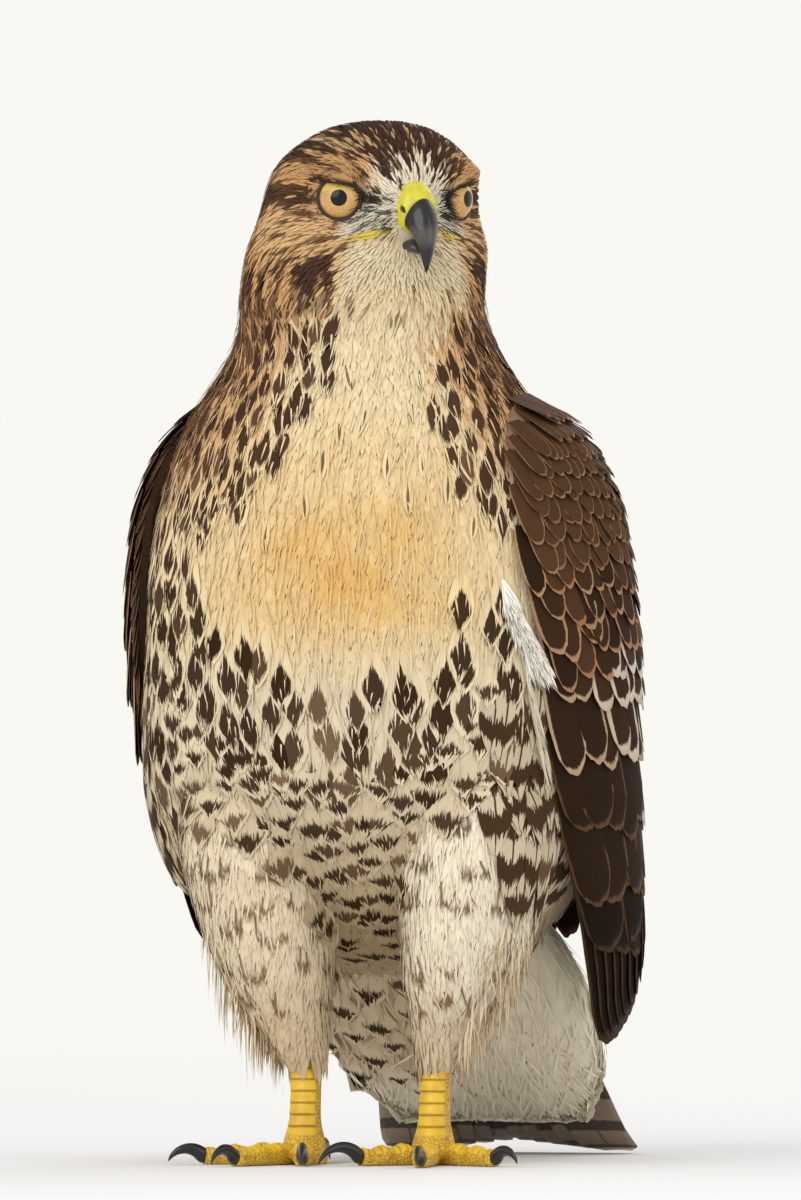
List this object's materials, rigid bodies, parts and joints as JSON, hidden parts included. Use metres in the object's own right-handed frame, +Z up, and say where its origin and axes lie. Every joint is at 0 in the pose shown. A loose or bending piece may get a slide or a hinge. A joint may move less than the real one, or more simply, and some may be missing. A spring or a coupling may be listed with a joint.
{
  "type": "red-tailed hawk",
  "caption": "Life-size still model of a young red-tailed hawk standing upright with folded wings, cream breast, spotted belly band and the head turned to one side.",
  "frame": {"origin": "on the floor, below the middle of the bird's box", "axes": "+Z up, the bird faces -Y with its breast turned a little towards -X, +X towards its left wing"},
  "size_m": [0.2313, 0.3156, 0.4598],
  "materials": {
    "head_plumage": "matt brown feathers streaked with buff, white throat",
    "breast_plumage": "soft matt cream feathers with dark brown drop spots on the belly",
    "wing_plumage": "satin dark brown feathers with thin pale edges",
    "tail_plumage": "satin grey-brown feathers with narrow dark bars",
    "white_down": "loose matt white feathers with sparse brown marks",
    "yellow_skin": "scaly satin yellow skin",
    "dark_horn": "polished dark grey horn",
    "eye": "clear wet eye with a pale amber iris and a black pupil"
  },
  "bodies": {
    "root": {"head": "head_plumage", "neck": "head_plumage", "torso": "breast_plumage", "wing_left": "wing_plumage", "wing_right": "wing_plumage", "tail": "tail_plumage", "undertail": "white_down", "thigh_left": "white_down", "thigh_right": "white_down", "tarsus_left": "yellow_skin", "tarsus_right": "yellow_skin", "toe_middle_left": "yellow_skin", "toe_inner_left": "yellow_skin", "toe_outer_left": "yellow_skin", "toe_hind_left": "yellow_skin", "toe_middle_right": "yellow_skin", "toe_inner_right": "yellow_skin", "toe_outer_right": "yellow_skin", "toe_hind_right": "yellow_skin", "talon_middle_left": "dark_horn", "talon_inner_left": "dark_horn", "talon_outer_left": "dark_horn", "talon_hind_left": "dark_horn", "talon_middle_right": "dark_horn", "talon_inner_right": "dark_horn", "talon_outer_right": "dark_horn", "talon_hind_right": "dark_horn", "cere": "yellow_skin", "bill_upper": "dark_horn", "bill_lower": "dark_horn", "eye_left": "eye", "eye_right": "eye"}
  },
  "joints": []
}
